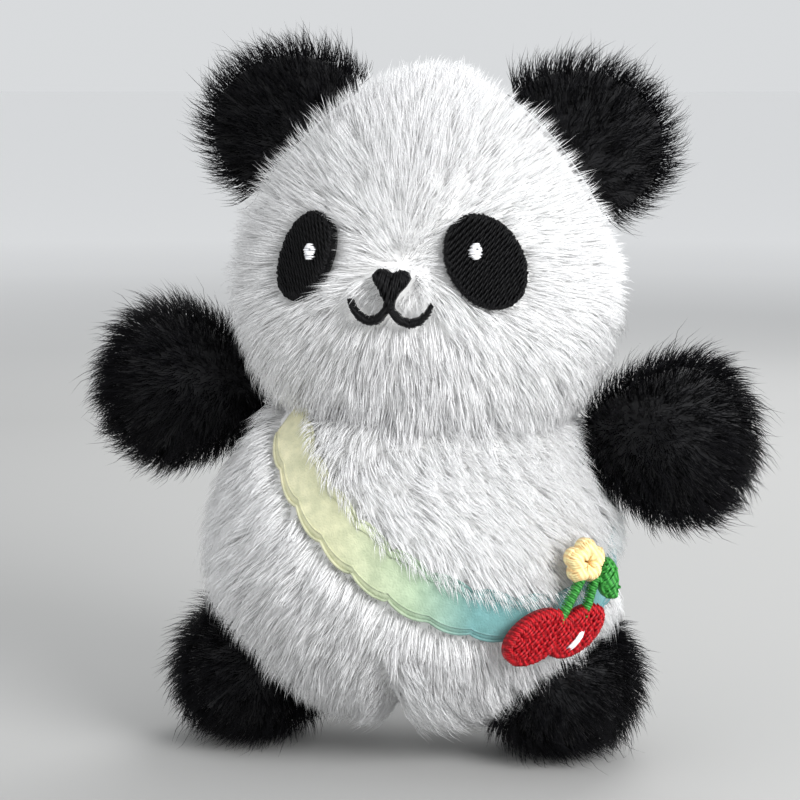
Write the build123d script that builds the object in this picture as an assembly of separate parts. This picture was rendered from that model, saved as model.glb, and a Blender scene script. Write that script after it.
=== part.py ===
from build123d import *
import os

# A stuffed plush panda with a key clasp, in millimetres.
# It stands on its feet at z = 0 and faces -Y, with +Z up and +X on its own left-hand side.
# Everything above the feet leans a little to +X, as a soft toy stands.
# Places are given about the line between the feet; main() then moves the toy so that
# the origin is under the middle of its box.

LEAN = 3.0                  # degrees that the toy leans to +X
HEAD_TURN = -3.0            # degrees that the face turns about the vertical

PILE = 4.0                  # cover thickness, backing cloth and pile together
SEAM_GAP = 0.15             # between pieces that are sewn onto each other
THREAD = 0.9                # how far embroidery stands proud of a cover

NECK_Z = 60.0
NECK_GAP = 0.8
NECK_THREAD = (1.8, 0.5)    # how deep inside the body's outline the neck stitches start and end

# Egg shapes: half width, half depth, height of the widest level, rise above it, drop below it
BODY = (36.5, 29.0, 32.0, 40.5, 27.0)
HEAD = (33.5, 26.5, 80.0, 37.0, 32.5)
HEAD_FORWARD = 1.5          # how far the head sits in front of the body

EAR_RADII = (16.4, 6.5, 14.4)
EAR_PLACE = (23.5, -2.0, 104.5)
ARM_RADII = (13.3, 12.3, 14.6)
ARM_PLACES = {              # side: the middle of the arm; one is held higher than the other
    -1: (-44.3, 1.0, 59.6),
    1: (46.3, 1.0, 56.8),
}
LEG_RADII = (13.4, 16.0, 13.4)
LEG_PLACE = (27.0, 1.0, 12.4)
LEG_GAP = 1.2               # between a leg and the body, where the sash passes

SASH_WIDTH = 7.0
SASH_THICKNESS = 0.7
SASH_NORMAL = (0.400, -0.550, 0.733)
SASH_OFFSET = 42.5          # distance of the sash's front plane from the origin

BOX_MIDDLE = (4.045, 3.475)     # the middle of the whole toy's box, which becomes the origin

BIG = 200.0


def egg(sizes, grow=0.0):
    """A closed egg with its long axis on Z, grown evenly by grow."""
    half_width, half_depth, middle, rise, drop = sizes
    radius = half_width + grow
    upper = EllipticalCenterArc((0, middle), radius, rise + grow, start_angle=0, arc_size=90)
    lower = EllipticalCenterArc((0, middle), radius, drop + grow, start_angle=-90, arc_size=90)
    axis = Line((0, middle + rise + grow), (0, middle - drop - grow))
    profile = make_face(Plane.XZ * Curve([lower, upper, axis]))
    return scale(revolve(profile, Axis.Z, 360), by=(1, (half_depth + grow) / radius, 1))


def ball(radii, place, grow=0.0):
    """An ellipsoid about place."""
    return Pos(*place) * scale(Sphere(1), by=tuple(radius + grow for radius in radii))


def above(height):
    return Pos(0, 0, height + BIG / 2) * Box(BIG, BIG, BIG)


def below(height):
    return Pos(0, 0, height - BIG / 2) * Box(BIG, BIG, BIG)


def body_form(grow=0.0):
    return egg(BODY, grow) & below(NECK_Z - NECK_GAP / 2)


def head_form(grow=0.0):
    return Pos(0, -HEAD_FORWARD, 0) * egg(HEAD, grow) & above(NECK_Z + NECK_GAP / 2)


def head_turned(shape):
    return Rot(0, 0, HEAD_TURN) * shape


def leaned(shape):
    return Rot(0, LEAN, 0) * shape


def mirrored(place, side):
    return (side * place[0], place[1], place[2])


def cover_and_stuffing(form):
    """A hollow cover and the stuffing that fills it, from a form that takes its growth."""
    stuffing = form(-PILE)
    cover = form() - form(SEAM_GAP - PILE)
    return cover, stuffing


# ---------------------------------------------------------------- head, body, ears, arms, legs

def ear(side):
    solid = ball(EAR_RADII, mirrored(EAR_PLACE, side))
    return solid - head_turned(Pos(0, -HEAD_FORWARD, 0) * egg(HEAD, SEAM_GAP))


def arm_form(side, grow=0.0):
    return ball(ARM_RADII, ARM_PLACES[side], grow)


def leg_form(side, grow=0.0):
    solid = ball(LEG_RADII, mirrored(LEG_PLACE, side), grow) & above(-grow)
    return solid - leaned(egg(BODY, LEG_GAP - grow))


def neck_seam():
    """The ring of stitches that closes the neck, between the head's rim and the body's."""
    level = below(NECK_Z + NECK_GAP / 2 - SEAM_GAP) & above(NECK_Z - NECK_GAP / 2 + SEAM_GAP)
    inner, outer = NECK_THREAD
    return (egg(BODY, -outer) - egg(BODY, -inner)) & level


# ---------------------------------------------------------------- embroidered face

EYES = {                    # side: middle x and z, half width, half height, tilt in degrees
    -1: (-15.8, 85.4, 4.8, 7.9, -18.0),
    1: (14.2, 86.5, 6.1, 8.4, 32.0),
}
GLINT = (0.9, 1.2)
GLINT_PLACE = (-1.6, 1.5)
GLINT_PROUD = 0.2
NOSE_LEVEL = 82.0
NOSE_POINTS = ((-3.0, 2.1), (3.0, 2.1), (0.0, -2.8))
NOSE_ROUNDING = 1.1
MOUTH_LEVEL = 78.3
MOUTH_WIDTH = 13.0
MOUTH_DIP = 2.3
MOUTH_END = 0.9             # how high the mouth's corners are above its middle
MOUTH_LOWEST = 0.52         # where along each half it dips lowest
MOUTH_LINE = 1.0
MOUTH_STEM = 1.4
BELLY_SEAM = (0.7, 7.5, 24.5)       # width, bottom, top
BELLY_SEAM_THREAD = 0.6


def on_face(outline, x, z, low=SEAM_GAP, high=THREAD):
    """Thread that fills an outline on the front of the head, between two heights above it."""
    prism = extrude(Plane.XZ * Pos(x, z) * outline, amount=BIG / 2, dir=(0, -1, 0))
    return (head_form(high) - head_form(low)) & prism


def eye(side):
    x, z, half_width, half_height, tilt = EYES[side]
    outline = Rot(0, 0, tilt) * Ellipse(half_width, half_height)
    glint = Pos(*GLINT_PLACE) * Ellipse(*GLINT)
    patch = on_face(outline - glint, x, z)
    spark = on_face(glint, x, z, high=THREAD + GLINT_PROUD)
    return patch, spark


def nose():
    outline = make_face(Polyline(*NOSE_POINTS, close=True))
    outline = fillet(outline.vertices(), NOSE_ROUNDING)
    return on_face(outline, 0, NOSE_LEVEL)


def mouth():
    half = MOUTH_WIDTH / 2
    arcs = [
        ThreePointArc((side * half, MOUTH_END), (side * half * MOUTH_LOWEST, -MOUTH_DIP), (0, 0))
        for side in (-1, 1)
    ]
    stem = Pos(0, MOUTH_STEM / 2) * Rectangle(MOUTH_LINE, MOUTH_STEM)
    outline = SlotArc(arcs[0], MOUTH_LINE) + SlotArc(arcs[1], MOUTH_LINE) + stem
    return on_face(outline, 0, MOUTH_LEVEL)


def belly_seam():
    width, bottom, top = BELLY_SEAM
    slab = Pos(0, -BIG / 2, (bottom + top) / 2) * Box(width, BIG, top - bottom)
    return (egg(BODY, BELLY_SEAM_THREAD) - egg(BODY, SEAM_GAP)) & slab


# ---------------------------------------------------------------- sash and cherry patch

def sash():
    """A ribbon round the body, from the neck seam to the hip and back up behind."""
    normal = Vector(*SASH_NORMAL).normalized()
    slab = Plane(origin=normal * SASH_OFFSET, z_dir=normal) * Box(BIG, BIG, SASH_WIDTH)
    front = slab & (Pos(0, -BIG / 2, 0) * Box(BIG, BIG, BIG))
    back = mirror(front, about=Plane.XZ)
    skin = body_form(SASH_THICKNESS + SEAM_GAP) - body_form(SEAM_GAP)
    return skin & (front + back)


PATCH_PLACE = (27.0, -19.5, 33.0)
PATCH_AZIMUTH = 38.0        # degrees that the patch faces away from -Y, towards +X
PATCH_STANDOFF = 1.5
PATCH_THICKNESS = 1.7
STEM_THICKNESS = 1.3
STREAK_THICKNESS = 0.3
STREAK_GAP = 0.02
PATCH_PLANE = Plane(
    origin=PATCH_PLACE,
    x_dir=Vector(1, 0, 0).rotate(Axis.Z, PATCH_AZIMUTH),
    z_dir=Vector(0, -1, 0).rotate(Axis.Z, PATCH_AZIMUTH),
)

CHERRY_INNER = (-4.9, -5.7, 5.9, 3.6, 33.0)     # centre, half sizes, tilt
CHERRY_OUTER = (2.4, -5.2, 5.8, 3.2, 33.0)
STREAK = (1.6, -6.3, 4.4, 0.8, 48.0)           # centre, length, width, tilt
STEMS = ((2.6, 3.4, -1.0, -3.4), (5.4, 3.4, 3.6, -3.0))
STEM_WIDTH = 1.6
FLOWER = (3.3, 6.2)
PETALS = 5
PETAL_RADIUS = 1.75
PETAL_SPREAD = 2.1
LEAF = (8.3, 3.0, 3.5, 1.7, 14.0)              # centre, half length, half width, tilt


def on_patch(outline, low, high):
    """A flat embroidered piece on the patch's plane, between two heights above the body."""
    base = PATCH_PLANE.offset(PATCH_STANDOFF + low)
    return extrude(base * outline, amount=high - low, dir=base.z_dir)


def cherry(spec, grow=0.0):
    x, y, half_length, half_height, tilt = spec
    return Pos(x, y) * Rot(0, 0, tilt) * Ellipse(half_length + grow, half_height + grow)


def flower(grow=0.0):
    outline = Circle(PETAL_RADIUS + grow)
    for number in range(PETALS):
        turn = Rot(0, 0, 90 + number * 360 / PETALS)
        outline += turn * Pos(PETAL_SPREAD, 0) * Circle(PETAL_RADIUS + grow)
    return Pos(*FLOWER) * outline


def leaf():
    x, y, half_length, half_width, tilt = LEAF
    right = ThreePointArc((0, half_length), (half_width, 0), (0, -half_length))
    left = ThreePointArc((0, -half_length), (-half_width, 0), (0, half_length))
    return Pos(x, y) * Rot(0, 0, tilt) * make_face(Curve([right, left]))


def stem_outline(ends):
    x0, y0, x1, y1 = ends
    run = Vector(x1 - x0, y1 - y0)
    middle = Pos((x0 + x1) / 2, (y0 + y1) / 2)
    tilt = Vector(1, 0).get_signed_angle(run)
    return middle * Rot(0, 0, tilt) * SlotCenterToCenter(run.length, STEM_WIDTH)


def cherry_patch():
    """The patch's pieces by name, cut so that each lies beside its neighbours."""
    gap = SEAM_GAP / 2
    inner = cherry(CHERRY_INNER)
    outer = cherry(CHERRY_OUTER) - cherry(CHERRY_INNER, gap)
    fruit = cherry(CHERRY_INNER, gap) + cherry(CHERRY_OUTER, gap)
    x, y, length, width, tilt = STREAK
    streak = Pos(x, y) * Rot(0, 0, tilt) * SlotOverall(length, width)
    streak_base = PATCH_THICKNESS + STREAK_GAP
    pieces = {
        "cherry_inner": on_patch(inner, 0, PATCH_THICKNESS),
        "cherry_outer": on_patch(outer, 0, PATCH_THICKNESS),
        "cherry_streak": on_patch(streak & outer, streak_base, streak_base + STREAK_THICKNESS),
        "cherry_flower": on_patch(flower(), 0, PATCH_THICKNESS),
        "cherry_leaf": on_patch(leaf() - flower(gap), 0, STEM_THICKNESS),
    }
    for name, ends in zip(("stem_inner", "stem_outer"), STEMS):
        outline = stem_outline(ends) - fruit - flower(gap) - leaf()
        pieces[name] = on_patch(outline, 0, STEM_THICKNESS)
    return pieces


# ---------------------------------------------------------------- hanging tab, ring and clasp

TAB_LEVEL = 101.0
TAB_ROOT_Y = 21.9           # where the tab leaves the head
TAB_WIDTH = 6.0
TAB_CLOTH = 0.6
TAB_HOLE = 1.7              # radius of the tab's folded end, inside
TAB_REACH = 0.6             # how far the folded end's middle is behind the ring
HANG_Y = 32.0               # the ring and clasp hang in this plane behind the head
HANG_X = 5.3                # under the tab, which leans with the head

WIRE = 0.9
RING_RADIUS = 8.0
RING_TOP = TAB_LEVEL + 0.2

EYE_WIRE = 0.8
EYE_RADIUS = 4.0
EYE_PLACE = RING_TOP - 2 * RING_RADIUS - (EYE_RADIUS - EYE_WIRE - WIRE) + 0.05
STEM_RADIUS = 1.1
STEM_HEAD_RADIUS = 1.85
BARREL_RADIUS = 2.9
BARREL_TOP = -5.6
BARREL_BOTTOM = -11.0
BORE_RADIUS = 1.15
BORE = (-9.6, -4.6)                 # bottom, top
CAVITY = (2.0, -9.6, -7.2)          # radius, bottom, top
STEM_HEAD = (-8.6, -7.5)            # bottom, top

HOOK_MIDDLE = -21.0
HOOK_OUTER = (6.5, 10.6)
HOOK_INNER = (4.0, 7.8)
HOOK_THICKNESS = 4.0
GATE_OPENING = (1.0, 10.0, -26.4, -16.6)    # low and high x, low and high z
GATE_SLOT = (1.0, 9.0, -16.8, -13.2)
GATE_REACH = (1.0, 9.0, -26.2, -15.0)
GATE_THICKNESS = 1.2
PIN_PLACE = (3.9, -14.9)
PIN_RADIUS = 0.6
PIN_FIT = 0.01
KNUCKLE = 1.25
LUG = (6.5, -17.6, 1.3)
SLOT_HALF = 1.25
SPRING_WIRE = 0.2
SPRING_RADIUS = 1.0
SPRING_Y = 0.9
SPRING_LEG = 1.8
SPRING_LEG_MIDDLE = 0.7             # from the coil's middle to the middle of each leg
RUNNING = 0.05


def hanging(shape):
    """Put a clasp piece, drawn about its own eye, under the tab."""
    return Pos(HANG_X, HANG_Y, EYE_PLACE) * shape


def hanging_tab():
    """A folded ribbon loop, sewn into the back of the head."""
    outer = TAB_HOLE + TAB_CLOTH
    centre = HANG_Y + TAB_REACH
    length = centre - TAB_ROOT_Y

    def loop(radius, width):
        bar = Pos(0, centre - length / 2, 0) * Box(width, length, 2 * radius)
        return bar + Pos(0, centre, 0) * Rot(0, 90, 0) * Cylinder(radius, width)

    return Pos(HANG_X, 0, TAB_LEVEL) * (loop(outer, TAB_WIDTH) - loop(TAB_HOLE, TAB_WIDTH + 2))


def jump_ring():
    return Pos(HANG_X, HANG_Y, RING_TOP - RING_RADIUS) * Rot(90, 0, 0) * Torus(RING_RADIUS, WIRE)


def swivel_eye():
    eye_ring = Rot(0, 90, 0) * Torus(EYE_RADIUS, EYE_WIRE)
    shank = upright(STEM_RADIUS, STEM_HEAD[0], -EYE_RADIUS)
    button = upright(STEM_HEAD_RADIUS, *STEM_HEAD)
    return hanging(eye_ring + shank + button)


def plate(outline, thickness):
    """Extrude an outline drawn in XZ evenly to both sides."""
    return extrude(Plane.XZ * outline, amount=thickness / 2, both=True)


def rectangle(low_x, high_x, low_z, high_z):
    return Pos((low_x + high_x) / 2, (low_z + high_z) / 2) * Rectangle(high_x - low_x, high_z - low_z)


def upright(radius, bottom, top):
    return Pos(0, 0, (bottom + top) / 2) * Cylinder(radius, top - bottom)


def hook_band():
    return Pos(0, HOOK_MIDDLE) * (Ellipse(*HOOK_OUTER) - Ellipse(*HOOK_INNER))


def clasp_hook():
    band = plate(hook_band(), HOOK_THICKNESS)
    barrel = upright(BARREL_RADIUS, BARREL_BOTTOM, BARREL_TOP)
    bore = upright(BORE_RADIUS, *BORE)
    cavity = upright(*CAVITY)
    solid = band + barrel - bore - cavity - plate(rectangle(*GATE_OPENING), 2 * HOOK_THICKNESS)
    solid -= plate(rectangle(*GATE_SLOT), 2 * SLOT_HALF)
    solid -= plate(Pos(*PIN_PLACE) * Circle(PIN_RADIUS), 2 * HOOK_THICKNESS)
    return hanging(solid)


def gate_pin():
    return hanging(plate(Pos(*PIN_PLACE) * Circle(PIN_RADIUS - PIN_FIT), HOOK_THICKNESS))


def gate_lever():
    band = hook_band() & rectangle(*GATE_REACH)
    x, y, radius = LUG
    outline = band + Pos(*PIN_PLACE) * Circle(KNUCKLE) + Pos(x, y) * Circle(radius)
    outline -= Pos(*PIN_PLACE) * Circle(PIN_RADIUS + RUNNING)
    return hanging(plate(outline, GATE_THICKNESS))


def gate_spring():
    """A wound wire spring beside the lever, with a leg on the hook and a leg on the lever."""
    x, z = PIN_PLACE
    coil = Pos(x, SPRING_Y, z) * Rot(90, 0, 0) * Torus(SPRING_RADIUS, SPRING_WIRE)
    leg = Cylinder(SPRING_WIRE, SPRING_LEG)
    lever_leg = Pos(x + SPRING_RADIUS, SPRING_Y, z - SPRING_LEG_MIDDLE) * leg
    hook_leg = Pos(x - SPRING_LEG_MIDDLE, SPRING_Y, z + SPRING_RADIUS) * Rot(0, 90, 0) * leg
    return hanging(coil + lever_leg + hook_leg)


# ---------------------------------------------------------------- the whole toy

def soft_nodes():
    nodes = {}
    cover, stuffing = cover_and_stuffing(head_form)
    nodes["head_cover"] = head_turned(cover)
    nodes["head_stuffing"] = head_turned(stuffing)
    nodes["body_cover"], nodes["body_stuffing"] = cover_and_stuffing(body_form)
    nodes["neck_seam"] = neck_seam()
    nodes["belly_seam"] = belly_seam()
    nodes["nose"] = head_turned(nose())
    nodes["mouth"] = head_turned(mouth())
    nodes["sash_ribbon"] = sash()
    nodes.update(cherry_patch())
    for side, name in ((-1, "right"), (1, "left")):
        nodes["ear_" + name] = ear(side)
        patch, spark = eye(side)
        nodes["eye_" + name] = head_turned(patch)
        nodes["eye_glint_" + name] = head_turned(spark)
        cover, stuffing = cover_and_stuffing(lambda grow=0.0: arm_form(side, grow))
        nodes[f"arm_{name}_cover"] = cover
        nodes[f"arm_{name}_stuffing"] = stuffing
    return {name: leaned(shape) for name, shape in nodes.items()}


def standing_nodes():
    nodes = {}
    for side, name in ((-1, "right"), (1, "left")):
        cover, stuffing = cover_and_stuffing(lambda grow=0.0: leg_form(side, grow))
        nodes[f"leg_{name}_cover"] = cover
        nodes[f"leg_{name}_stuffing"] = stuffing
    return nodes


def hardware_nodes():
    return {
        "hanging_tab": hanging_tab(),
        "jump_ring": jump_ring(),
        "swivel_eye": swivel_eye(),
        "clasp_hook": clasp_hook(),
        "gate_pin": gate_pin(),
        "gate_lever": gate_lever(),
        "gate_spring": gate_spring(),
    }


def main():
    os.makedirs("parts", exist_ok=True)
    centred = Pos(-BOX_MIDDLE[0], -BOX_MIDDLE[1], 0)
    nodes = soft_nodes() | standing_nodes() | hardware_nodes()
    for name, shape in nodes.items():
        export_step(centred * shape, f"parts/{name}.step")


main()
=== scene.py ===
import math

import bmesh
import bpy
import numpy as np
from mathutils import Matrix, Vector
from mathutils.kdtree import KDTree


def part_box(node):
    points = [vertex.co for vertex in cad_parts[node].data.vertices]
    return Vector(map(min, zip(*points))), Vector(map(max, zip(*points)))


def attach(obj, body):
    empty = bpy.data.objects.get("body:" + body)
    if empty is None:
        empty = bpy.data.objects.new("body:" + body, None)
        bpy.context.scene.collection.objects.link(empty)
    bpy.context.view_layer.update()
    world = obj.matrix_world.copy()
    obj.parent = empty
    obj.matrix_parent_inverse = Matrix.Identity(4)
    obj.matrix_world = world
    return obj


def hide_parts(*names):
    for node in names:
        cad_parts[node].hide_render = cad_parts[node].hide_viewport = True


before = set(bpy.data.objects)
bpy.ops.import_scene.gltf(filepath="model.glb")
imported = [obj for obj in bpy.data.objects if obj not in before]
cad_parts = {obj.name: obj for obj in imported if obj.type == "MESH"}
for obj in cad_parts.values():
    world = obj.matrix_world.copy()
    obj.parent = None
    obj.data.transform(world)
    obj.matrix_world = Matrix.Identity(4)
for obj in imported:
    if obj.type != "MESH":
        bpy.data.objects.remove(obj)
scene = bpy.context.scene
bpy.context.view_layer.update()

# Sizes are in millimetres, in the toy's own upright frame: the middle of its feet is the origin,
# it faces -Y, and to_frame() leans it and moves it onto the CAD frame.

MM = 0.001
LEAN = math.radians(3.0)
HEAD_TURN = math.radians(-3.0)
NECK_Z = 60.0
NECK_HALF_GAP = 0.4
LEG_Y = 1.0

# Eggs: half width, half depth, height of the widest level, rise above it, drop below it
BODY = (36.5, 29.0, 32.0, 40.5, 27.0)
HEAD = (33.5, 26.5, 80.0, 37.0, 32.5)
HEAD_FORWARD = 1.5

right_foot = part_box("leg_right_cover")
left_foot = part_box("leg_left_cover")
ORIGIN = np.array([
    (right_foot[0].x + left_foot[1].x) / 2,
    (right_foot[0].y + right_foot[1].y) / 2 - LEG_Y * MM,
    0.0,
])


# ---- small helpers

def stacked(*coordinates):
    """Points from their coordinates, single numbers among them spread over all."""
    return np.stack(np.broadcast_arrays(*coordinates), -1)


def unit(v):
    return v / np.maximum(np.linalg.norm(v, axis=-1, keepdims=True), 1e-9)


def smooth(x, low, high):
    t = np.clip((x - low) / (high - low), 0, 1)
    return t * t * (3 - 2 * t)


def bump(points, centre, reach):
    """1 at a centre, fading to 0 a few reaches away."""
    away = (points - np.array(centre)) / np.array(reach)
    return np.exp(-(away ** 2).sum(-1))


def on_side(side, place):
    """A place of the left side, or its mirror image on the right."""
    return np.array(place) * (side, 1, 1)


def both(points, centre, reach):
    return bump(points, on_side(-1, centre), reach) + bump(points, centre, reach)


def heading(angle):
    return np.array([math.cos(angle), math.sin(angle)])


def spun(u, v, angle):
    """Two coordinates turned from the first towards the second."""
    c, s = heading(angle)
    return u * c - v * s, u * s + v * c


def turned(points, angle):
    """Points turned about the vertical axis."""
    x, y, z = np.moveaxis(points, -1, 0)
    return stacked(*spun(x, y, angle), z)


def leaned(points, angle=-LEAN):
    x, y, z = np.moveaxis(points, -1, 0)
    x, z = spun(x, z, angle)
    return stacked(x, y, z)


def to_frame(points, lean=True):
    points = np.asarray(points, float)
    return (leaned(points) if lean else points) * MM + ORIGIN


def from_frame(points):
    return leaned((np.asarray(points, float) - ORIGIN) / MM, LEAN)


def mesh_object(name, points, faces, material, lean=True):
    """A mesh piece from points in millimetres and faces, or a list of arrays of faces."""
    groups = [np.asarray(group) for group in (faces if isinstance(faces, list) else [faces])]
    mesh = bpy.data.meshes.new(name)
    mesh.vertices.add(len(points))
    mesh.vertices.foreach_set("co", to_frame(points, lean).ravel())
    loops = np.concatenate([group.ravel() for group in groups])
    totals = np.concatenate([np.full(len(group), group.shape[1]) for group in groups])
    starts = np.concatenate([[0], np.cumsum(totals)[:-1]])
    mesh.loops.add(len(loops))
    mesh.loops.foreach_set("vertex_index", loops.astype(np.int32))
    mesh.polygons.add(len(totals))
    mesh.polygons.foreach_set("loop_start", starts.astype(np.int32))
    mesh.polygons.foreach_set("loop_total", totals.astype(np.int32))
    mesh.polygons.foreach_set("use_smooth", np.ones(len(totals), bool))
    mesh.update(calc_edges=True)
    mesh.materials.append(material)
    piece = bpy.data.objects.new(name, mesh)
    scene.collection.objects.link(piece)
    return piece


def set_values(piece, name, values):
    """A number at each point, for a material to read."""
    attribute = piece.data.attributes.new(name, "FLOAT", "POINT")
    attribute.data.foreach_set("value", np.asarray(values, float))


def ring_quads(rows, columns):
    """Quads between closed rings of points, one ring after the other."""
    grid = np.arange(rows * columns).reshape(rows, columns)
    following = np.roll(grid, -1, axis=1)
    return np.stack([grid[:-1], following[:-1], following[1:], grid[1:]], -1).reshape(-1, 4)


def distances(line):
    """How far along a line each of its points lies."""
    return np.concatenate([[0], np.cumsum(np.linalg.norm(np.diff(line, axis=0), axis=1))])


def sampled(line, lengths, where):
    """Points of a line at given distances along it."""
    return np.stack([np.interp(where, lengths, line[:, axis]) for axis in range(line.shape[1])], -1)


def finish_piece(piece, body, slot, replaced=()):
    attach(piece, body)
    if replaced:
        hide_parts(*replaced)
    return piece


# ---- materials

class Paint:
    """A node material, put together call by call. An output given as a setting is linked in."""

    def __init__(self, name, roughness, sheen=0.0, metallic=0.0, gloss=0.5):
        self.material = bpy.data.materials.new(name)
        self.material.use_nodes = True
        self.tree = self.material.node_tree
        self.shader = self.tree.nodes["Principled BSDF"]
        self.shade(Roughness=roughness, Metallic=metallic, Sheen_Weight=sheen, Specular_IOR_Level=gloss)

    def feed(self, socket, value):
        if isinstance(value, bpy.types.NodeSocket):
            self.tree.links.new(value, socket)
        else:
            socket.default_value = value

    def shade(self, **values):
        for key, value in values.items():
            self.feed(self.shader.inputs[key.replace("_", " ")], value)

    def node(self, kind, output, **values):
        """The named output of a new node with these settings."""
        node = self.tree.nodes.new("ShaderNode" + kind)
        for key, value in values.items():
            if hasattr(node, key):
                setattr(node, key, value)
            else:
                self.feed(node.inputs[key.replace("_", " ")], value)
        return node.outputs[output]

    def texture(self, kind, output, size_mm, **values):
        """A texture in the piece's own place, whose features are about size_mm across."""
        place = self.node("TexCoord", "Object")
        return self.node("Tex" + kind, output, Vector=place, Scale=1 / (size_mm * MM), **values)

    def noise(self, size_mm, detail=3.0):
        return self.texture("Noise", "Fac", size_mm, Detail=detail)

    def value(self, name):
        return self.node("Attribute", "Fac", attribute_name=name)

    def ramp(self, fac, *stops):
        colour = self.node("ValToRGB", "Color", Fac=fac)
        elements = colour.node.color_ramp.elements
        while len(elements) < len(stops):
            elements.new(0.5)
        for element, (place, shade) in zip(elements, stops):
            element.position = place
            element.color = (*shade, 1)
        return colour

    def product(self, kind, first, second):
        result = self.node(kind, 0, operation="MULTIPLY")
        self.feed(result.node.inputs[0], first)
        self.feed(result.node.inputs[1], second)
        return result

    def bump(self, height, strength, distance_mm):
        normal = self.node("Bump", "Normal", Height=height, Strength=strength, Distance=distance_mm * MM)
        self.shade(Normal=normal)


def fur_material(name, stops, spread, roughness, sheen, gloss):
    """Colour runs from root to tip, darker at the root as painted shade deep in the pile, and each strand is
    a little lighter or darker at random.
    """
    paint = Paint(name, roughness, sheen, gloss=gloss)
    # The ramp's stops darken towards the root: painted shade deep in the pile
    colour = paint.ramp(paint.value("along"), *stops)
    light = paint.node("MapRange", "Result", Value=paint.value("shade"), To_Min=1 - spread, To_Max=1 + spread)
    paint.shade(Base_Color=paint.node("VectorMath", "Vector", operation="SCALE", Vector=colour, Scale=light))
    return paint.material


def cloth_material(name, dark, light, size_mm):
    paint = Paint(name, 0.85, 0.2)
    paint.shade(Base_Color=paint.ramp(paint.noise(size_mm), (0.3, dark), (0.7, light)))
    paint.bump(paint.noise(size_mm / 4), 0.5, 0.2)
    return paint.material


def thread_material(name, dark, light, roughness, sheen, gloss):
    """Twisted thread: fine slanted plies in height, their grooves darker in colour as painted shade, mixed
    with random tone.
    """
    paint = Paint(name, roughness, sheen, gloss=gloss)
    plies = paint.texture("Wave", "Fac", 2.2, Distortion=2.0, bands_direction="DIAGONAL")
    # Colour from the plies times noise: painted shade in the plies' grooves, and random tone
    groove_shade_and_tone = paint.product("Math", plies, paint.noise(0.8))
    paint.shade(Base_Color=paint.ramp(groove_shade_and_tone, (0.05, dark), (0.55, light)))
    paint.bump(plies, 0.35, 0.06)
    return paint.material


def metal_material(name, colour, roughness):
    """Plated metal with fine handling marks in its gloss and surface."""
    paint = Paint(name, roughness, metallic=1.0)
    marks = paint.noise(1.5, detail=6)
    gloss = paint.node("MapRange", "Result", Value=marks, To_Min=roughness * 0.6, To_Max=roughness * 1.7)
    paint.shade(Base_Color=(*colour, 1), Roughness=gloss)
    paint.bump(paint.noise(0.25), 0.12, 0.03)
    return paint.material


# Both coats' stops darken towards the root: painted shade deep in the pile
WHITE_FUR = fur_material(
    "white_fur", [(0.0, (0.84, 0.84, 0.84)), (0.45, (0.92, 0.92, 0.925)), (1.0, (0.955, 0.96, 0.97))],
    0.05, 0.6, 0.3, 0.4,
)
BLACK_FUR = fur_material(
    "black_fur",
    [(0.0, (0.0015, 0.0015, 0.002)), (0.6, (0.003, 0.003, 0.004)), (1.0, (0.008, 0.008, 0.010))],
    0.5, 0.5, 0.0, 0.09,
)
WHITE_CLOTH = cloth_material("white_backing", (0.84, 0.84, 0.83), (0.92, 0.92, 0.92), 3.0)
BLACK_CLOTH = cloth_material("black_backing", (0.003, 0.003, 0.004), (0.008, 0.008, 0.010), 3.0)
FILLING = cloth_material("polyester_filling", (0.80, 0.80, 0.78), (0.93, 0.93, 0.91), 6.0)
THREADS = {}
for colour, dark, light, roughness, sheen, gloss in (
    ("black", (0.0015, 0.0015, 0.002), (0.006, 0.006, 0.007), 0.5, 0.0, 0.15),
    ("white", (0.70, 0.71, 0.74), (0.95, 0.95, 0.97), 0.45, 0.1, 0.5),
    ("red", (0.22, 0.002, 0.006), (0.56, 0.010, 0.018), 0.5, 0.0, 0.25),
    ("green", (0.015, 0.16, 0.02), (0.07, 0.40, 0.07), 0.45, 0.0, 0.35),
    ("yellow", (0.84, 0.58, 0.26), (0.97, 0.86, 0.46), 0.55, 0.1, 0.3),
):
    THREADS[colour] = thread_material(colour + "_thread", dark, light, roughness, sheen, gloss)
NICKEL = metal_material("nickel_plate", (0.78, 0.77, 0.74), 0.16)
SPRING_STEEL = metal_material("spring_steel", (0.55, 0.55, 0.56), 0.3)


# ---- forms of the soft parts

def sphere(subdivisions):
    """Points and triangles of an even sphere of radius 1."""
    ball = bmesh.new()
    bmesh.ops.create_icosphere(ball, subdivisions=subdivisions, radius=1.0)
    points = np.array([vertex.co[:] for vertex in ball.verts])
    faces = np.array([[vertex.index for vertex in face.verts] for face in ball.faces])
    ball.free()
    return points, faces


SPHERE = sphere(6)
SMALL_SPHERE = sphere(5)


def egg_axes(points, sizes, grow):
    """The egg's three half axes at each point, and the point seen from the egg's middle."""
    half_width, half_depth, middle, rise, drop = sizes
    seen = points - np.array([0, 0, middle])
    upper = np.where(seen[..., 2] >= 0, rise, drop)
    return stacked(half_width, half_depth, upper) + grow, seen


def egg_from_sphere(dirs, sizes, grow):
    middle = np.array([0, 0, sizes[2]])
    axes, _ = egg_axes(dirs + middle, sizes, grow)
    return dirs * axes + middle


def egg_level(points, sizes, grow=0.0):
    """1 on the egg's surface, less inside, more outside."""
    axes, seen = egg_axes(points, sizes, grow)
    return np.sqrt(((seen / axes) ** 2).sum(-1))


def onto_egg(points, sizes, grow=0.0):
    """Points moved straight in or out from the egg's middle onto its surface."""
    middle = np.array([0, 0, sizes[2]])
    return (points - middle) / egg_level(points, sizes, grow)[..., None] + middle


def egg_normal(points, sizes):
    axes, seen = egg_axes(points, sizes, 0.0)
    return unit(seen / axes ** 2)


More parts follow.
